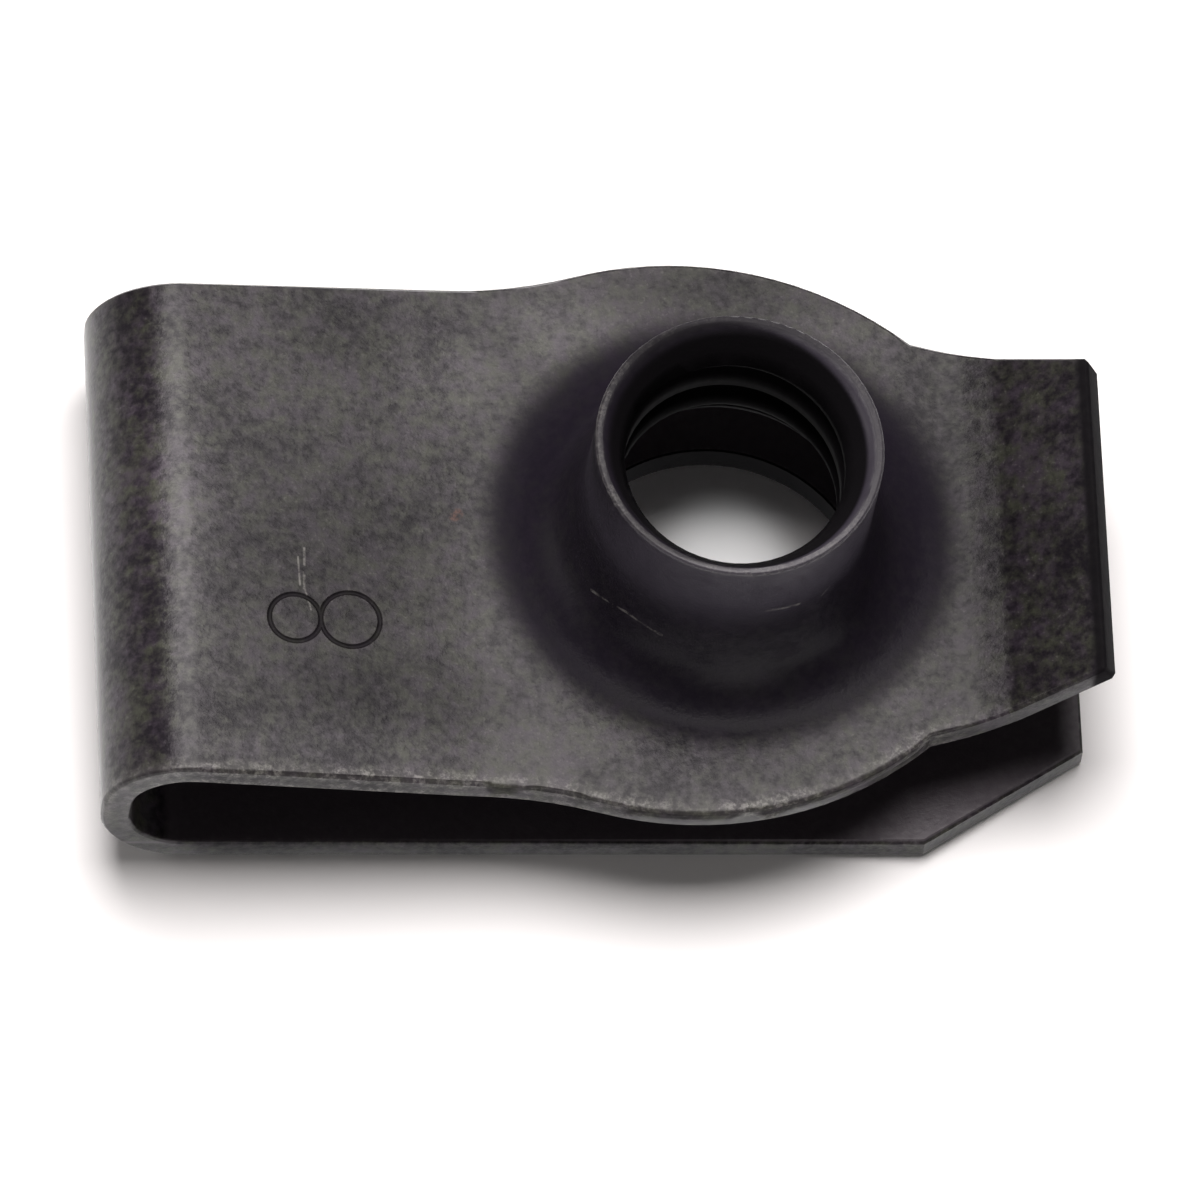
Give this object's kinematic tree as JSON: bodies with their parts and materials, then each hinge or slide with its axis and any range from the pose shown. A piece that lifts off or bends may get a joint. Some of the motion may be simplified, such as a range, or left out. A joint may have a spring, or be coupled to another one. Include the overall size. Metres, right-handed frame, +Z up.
{
  "type": "u clip speed nut",
  "caption": "One-piece spring steel U clip with a threaded funnel boss on its upper leg, a screw clearance hole below it and a lifted lead-in lip.",
  "frame": {"origin": "centre of the clearance hole on the underside of the flat lower leg", "axes": "+X from the fold towards the open end, +Y across the strip, +Z up through the threaded boss"},
  "size_m": [0.0305, 0.0184, 0.011],
  "materials": {
    "phosphated_spring_steel": "dark phosphate and oil on spring steel, matt with a faint sheen, rubbed brighter on the edges"
  },
  "bodies": {
    "root": {"clip": "phosphated_spring_steel"}
  },
  "joints": []
}
